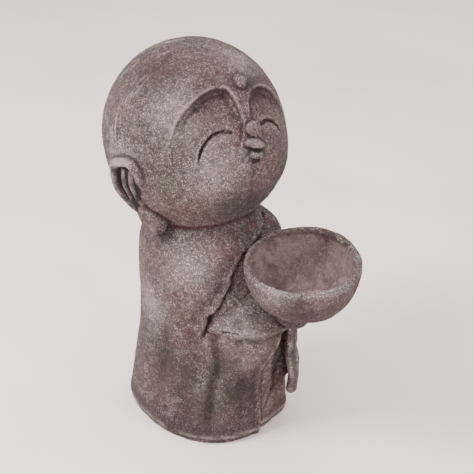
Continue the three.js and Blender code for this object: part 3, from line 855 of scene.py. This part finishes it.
def measureRelief(points, normals):  # hollows and ridges, without the big round forms
    pairs = np.empty(len(statue.data.edges) * 2, dtype=np.int32)
    statue.data.edges.foreach_get("vertices", pairs)
    pairs = pairs.reshape(-1, 2)
    share = 1 / np.maximum(np.bincount(pairs.ravel(), minlength=len(points)), 1)[:, None]
    soft, depths = points, []
    for turn in range(1, max(paint["relief"]) + 1):
        soft = nextAverage(soft, pairs, share)
        if turn in paint["relief"]:
            depths.append(((soft - points) * normals).sum(1)[:, None])  # above nought in a hollow
    for i, depth in enumerate(depths):
        plain = depth
        for _ in range(paint["reliefSpread"]):
            plain = nextAverage(plain, pairs, share)
        depths[i] = (depth - plain)[:, 0]
    fine, broad = depths
    # the hollows feed the painted shade in creases and folds
    hollow = np.clip(fine / 0.25, 0, 1) * 0.5 + np.clip(broad / 0.9, 0, 1)
    ridge = np.clip(-fine / 0.2, 0, 1) * 0.5 + np.clip(-broad / 0.6, 0, 1)
    return hollow, ridge


def insideBowl(points):
    spots = (points - bowlMiddle) @ bowlLean()
    halfway = np.array((bowl["radius"], bowl["radius"], bowl["depth"])) - (2.5, 2.5, 3)
    return rise(1 - np.linalg.norm(spots / halfway, axis=1), -0.02, 0.03) * rise(-spots[:, 2], -2, 4)


def darkenLines(dark, points):
    # painted shadow in the mouth line, along the sleeve's edge, in the robe's crease and under the lower lip; the
    # eye slits get dark paint and painted shadow
    paintAlong(dark, points, alongFace(marks["mouth"], 1.5), 2.2, 1, 1)
    paintAlong(dark, points, alongRobe(marks["sleeveEdge"]), 2.2, 0.6, 0.6)
    paintAlong(dark, points, alongRobe(robe["crease"], 1), 3.6, 1, 0.5)
    paintAlong(dark, points, alongFace(marks["underLip"]), 2.6, 0.5, 0.5)
    for side in (-1, 1):
        underLid = [(a * side, e - 1.3) for a, e in lidLines[side]]
        paintAlong(dark, points, alongFace(underLid, -3), 2.3, 1, 1)
    # a painted shadow ringing the brow dot, darker below it
    azimuth, elevation, _, radii, _ = beads["browDot"]
    middle = facePlace(azimuth, elevation)
    away = np.linalg.norm(points - middle, axis=1)
    below = 0.35 + 0.3 * rise(middle[2] - points[:, 2], -4, 6)
    dark[:] = np.maximum(dark, below * bell(away, radii[2] + 1.4, 1.2))


def paintEar(side, dark, worn, points, normals):  # painted shade between the bars and painted shadow under the lobe, worn on top of them
    own = np.flatnonzero((points[:, 0] * side > 55) & (points[:, 2] > 215))
    spots = ((points[own] - headMiddle) @ headLean) * (-side, 1, 1)
    apart = np.full(len(own), 99.0)
    for path, radius in ear["bars"].values():
        apart = np.minimum(apart, nearPath(spots, finePath(path, 40))[0] - radius)
    within = insideOutline(spots[:, 1:], np.array(ear["bars"]["rim"][0])[:, 1:])
    outward = rise(normals[own, 0] * side, 0.2, 0.8)
    lobeAway = np.linalg.norm(spots - ear["lobeTo"], axis=1) / ear["lobe"]
    underLobe = bell(lobeAway, 1.14, 0.13) * (apart > 1) * rise(-spots[:, 2], 70, 78)
    between = within * rise(apart, -0.6, 0.9)
    dark[own] = np.maximum(dark[own], np.maximum(0.85 * between, 0.6 * underLobe))
    onBars = (apart < 0.8) * rise(spots[:, 2], -70, -20)
    worn[own] = 0.5 * outward * np.maximum(onBars, lobeAway < 1.05)


def storeStrokes(points):  # dry brush strokes that run round the back of the head
    axis = np.array(paint["strokeAxis"]) / np.linalg.norm(paint["strokeAxis"])
    side = np.cross(axis, (0, 0, 1)) / np.linalg.norm(np.cross(axis, (0, 0, 1)))
    offset = points - headMiddle
    flat = offset - (offset @ axis)[:, None] * axis
    ring = np.linalg.norm(flat, axis=1)
    turn = np.arctan2(flat @ side, flat @ np.cross(side, axis))
    strokes = np.stack([ring, 9 * np.cos(turn), 9 * np.sin(turn)], 1) / 1000
    layer = statue.data.attributes.new("strokes", "FLOAT_VECTOR", "POINT")
    layer.data.foreach_set("vector", strokes.astype(np.float32).ravel())
    back = rise(ring, 48, 75) * rise(offset[:, 2], -5, 25) * rise(offset @ side, -20, 30)
    storeMask("brushed", back * (1 - 0.7 * rise(offset[:, 1], 20, 60)))


def paintStatue():
    points, normals = readPoints(statue), readNormals(statue)
    hollow, ridge = measureRelief(points, normals)
    # the bowl's inside, shaded by its own walls, gets painted light
    inside = insideBowl(points)
    # less painted shade in the hollows inside the bowl and towards the bottom
    hollow = hollow * (1 - 0.8 * inside) * rise(points[:, 2], -20, 45)
    dark, worn = np.zeros(len(points)), np.zeros(len(points))
    darkenLines(dark, points)
    for side in (-1, 1):
        paintEar(side, dark, worn, points, normals)
    # a painted highlight along the brow's edges
    for side in (-1, 1):
        brow = [(a * side, e + 0.3) for a, e in browLines[side]]
        paintAlong(worn, points, alongFace(brow), 1.2, 0.8, 0.8)
    worn = np.maximum(worn, bell(points[:, 2], robe["hem"] - 1, 1.8))
    # painted shade: a dark red band in the hollow under the head
    neck = bell(points[:, 2], paint["neckHeight"], 9) * rise(hollow, 0.1, 0.6)
    masks = {"hollow": hollow, "ridge": np.minimum(ridge, 0.7), "inside": inside, "dark": dark, "worn": worn,
             "neck": neck}
    for name in ("rosy", "mossy", "pale", "grimy"):
        masks[name] = np.zeros(len(points))
        for x, y, z, size in paint[name]:
            patch = np.exp(-np.sum((points - (x, y, z)) ** 2, axis=1) / size ** 2)
            masks[name] = np.maximum(masks[name], patch)
    for name, values in masks.items():
        storeMask(name, values)
    storeStrokes(points)


# the inside colour is painted light for the bowl's shaded inside
finish = {
    "mauve": (88, 66, 64), "shade": (60, 44, 43), "maroon": (88, 39, 46), "moss": (57, 63, 46),
    "pale": (214, 198, 192), "dirtAndShade": (40, 30, 28), "blackPaintAndShadow": (30, 23, 21), "neck": (110, 50, 48),
    "inside": (168, 141, 138), "broadSize": 17.0, "maroonSize": 22.0, "mossSize": 27.0, "patchSize": 48.0,
    "clumpSize": 125.0, "strokeSize": 330.0, "threadSize": 520, "peelSize": 700.0, "grainSize": 1100,
    "bump": 0.002, "roughness": 0.92, "specular": 0.35,
}


def makeStone():
    material, shader, start = newMaterial("castStone")
    place = start.node("ShaderNodeTexCoord", outlet=3)

    def noise(scale, detail=3.0, distortion=0.0, vector=place):
        return start.node("ShaderNodeTexNoise", Vector=vector, Scale=scale, Detail=detail, Roughness=0.55,
                          Distortion=distortion)

    def mask(name):
        return start.node("ShaderNodeAttribute", {"attribute_name": name}, 2)

    def threads(field, width):  # thin wandering lines where a noise crosses its middle
        return 1 - (field - 0.5).math("ABSOLUTE", 0).ramp(0, width)

    colours = {name: fromScreen(*finish[name]) for name in
               ("mauve", "shade", "maroon", "moss", "pale", "dirtAndShade", "blackPaintAndShadow", "neck", "inside")}
    broad = noise(finish["broadSize"])
    patch, clump = noise(finish["patchSize"], 4.0, 0.6), noise(finish["clumpSize"], 3.0, 0.5)
    grain = noise(finish["grainSize"], 3.0)
    size = finish["threadSize"]
    worm = (threads(noise(size, 1.5, 2.4), 0.085) * clump.ramp(0.4, 0.58)
            + threads(noise(size * 0.6, 2.0, 2.0), 0.045) * patch.ramp(0.42, 0.6)).math("MINIMUM", 1.0)
    strokes = start.node("ShaderNodeAttribute", {"attribute_name": "strokes"}, 1)
    brushed = noise(finish["strokeSize"], 2.0, 0.4, strokes).ramp(0.53, 0.62)
    brushed = brushed * mask("brushed") * patch.ramp(0.38, 0.56)
    ridge, hollow = mask("ridge"), mask("hollow")
    colour = broad.ramp(0.36, 0.64).tint(colours["mauve"], colours["shade"])
    colour = (mask("rosy") * patch.ramp(0.3, 0.6) * 0.85).tint(colours["maroon"], colour)
    colour = (noise(finish["maroonSize"], 3.0).ramp(0.56, 0.72) * 0.4).tint(colours["maroon"], colour)
    colour = (mask("mossy") * patch.ramp(0.35, 0.62) * 0.85).tint(colours["moss"], colour)
    colour = (noise(finish["mossSize"], 3.0).ramp(0.58, 0.74) * 0.4).tint(colours["moss"], colour)
    # dark patches: painted shade in the sockets and under the bowl, partly grime
    colour = (mask("grimy") * 0.5).tint(colours["dirtAndShade"], colour)
    # painted light: the bowl's inside, shaded by its own walls, is tinted paler
    inside = mask("inside")
    colour = (inside * patch.ramp(0.25, 0.65) * 0.7 + inside * 0.2).tint(colours["inside"], colour)
    colour = (grain.ramp(0.52, 0.36) * 0.55).tint(colours["dirtAndShade"], colour)
    peel = noise(finish["peelSize"], 2.0, 0.3)
    clean = 1 - (mask("grimy") * 0.8 + inside * 0.5).math("MINIMUM", 0.8)
    # pale threads, strokes and specks, with the pale patches partly painted light
    light = worm * (0.2 + ridge * 0.4 + mask("pale") * 0.4) + brushed * 0.4
    light = light + peel.ramp(0.55, 0.6) * (0.22 + ridge * 0.3 + mask("pale") * 0.36) + mask("pale") * 0.14
    # pale wear on the hem and ears, and a painted highlight along the brow
    light = light * clean + grain.ramp(0.57, 0.66) * 0.1 + mask("worn") * patch.ramp(0.35, 0.6) * 0.5
    colour = light.math("MINIMUM", 0.8).tint(colours["pale"], colour)
    # painted shade: hollows, creases and folds are darkened
    colour = (hollow * (0.3 + clump * 0.5)).math("MINIMUM", 0.8).tint(colours["dirtAndShade"], colour)
    # painted shadow, with some dark paint, in the lines, slits, ears and round the brow dot
    colour = mask("dark").ramp(0.25, 0.85).tint(colours["blackPaintAndShadow"], colour)
    # painted shade under the head
    colour = (mask("neck") * 0.6).tint(colours["neck"], colour)
    relief = worm * 0.4 + grain * 0.35 + peel * 1.2 + clump * 0.5 + brushed * 0.25
    bump = start.node("ShaderNodeBump", Strength=1.0, Distance=finish["bump"], Height=relief)
    material.node_tree.links.new(colour.out, shader.inputs["Base Color"])
    material.node_tree.links.new(bump.out, shader.inputs["Normal"])
    rough = finish["roughness"] - light * 0.08
    material.node_tree.links.new(rough.out, shader.inputs["Roughness"])
    shader.inputs["Specular IOR Level"].default_value = finish["specular"]
    return material


applyModifier(statue, "DECIMATE", ratio=stone["triangles"] / (2 * len(statue.data.polygons)))
paintStatue()
writePoints(statue, readPoints(statue) * mm)
makeActive(statue)
bpy.ops.object.shade_smooth()
print("statue has", len(statue.data.polygons), "triangles")

statue.data.materials.clear()
statue.data.materials.append(makeStone())
print("stone finish laid on")

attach(statue, "root")
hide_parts("jizo_statue")
